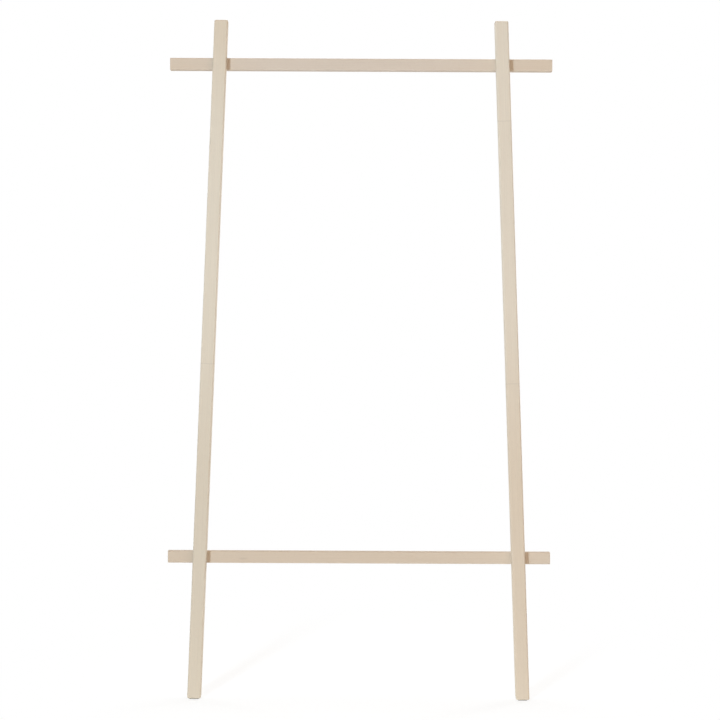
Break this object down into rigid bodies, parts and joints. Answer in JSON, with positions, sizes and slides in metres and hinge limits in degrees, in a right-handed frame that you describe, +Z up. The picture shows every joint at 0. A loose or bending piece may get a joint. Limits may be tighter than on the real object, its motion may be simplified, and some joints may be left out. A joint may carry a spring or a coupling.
{
  "type": "open frame wardrobe",
  "caption": "Leaning open clothes frame: splayed square wooden uprights with rails bolted across behind them, level-cut padded feet and rubber stops for the wall.",
  "frame": {"origin": "on the floor, midway between the uprights and midway between the front of the feet and the wall that the frame leans on", "axes": "+X to the right seen from the front, +Y towards the wall, +Z up; the frame leans back by 8 degrees towards +Y"},
  "size_m": [1.016, 0.3002, 1.782],
  "materials": {
    "pale_wood": "white-oiled, fine and even grain, matt",
    "zinc_steel": "bright zinc plated",
    "brass": "as turned",
    "grey_rubber": "matt, slightly dusty"
  },
  "bodies": {
    "root": {"left_upright": "pale_wood", "right_upright": "pale_wood", "top_rail": "pale_wood", "bottom_rail": "pale_wood", "top_left_bolt": "zinc_steel", "top_left_washer": "zinc_steel", "top_left_insert": "brass", "top_right_bolt": "zinc_steel", "top_right_washer": "zinc_steel", "top_right_insert": "brass", "bottom_left_bolt": "zinc_steel", "bottom_left_washer": "zinc_steel", "bottom_left_insert": "brass", "bottom_right_bolt": "zinc_steel", "bottom_right_washer": "zinc_steel", "bottom_right_insert": "brass", "left_foot_pad": "grey_rubber", "right_foot_pad": "grey_rubber", "left_wall_bumper": "grey_rubber", "right_wall_bumper": "grey_rubber"}
  },
  "joints": []
}
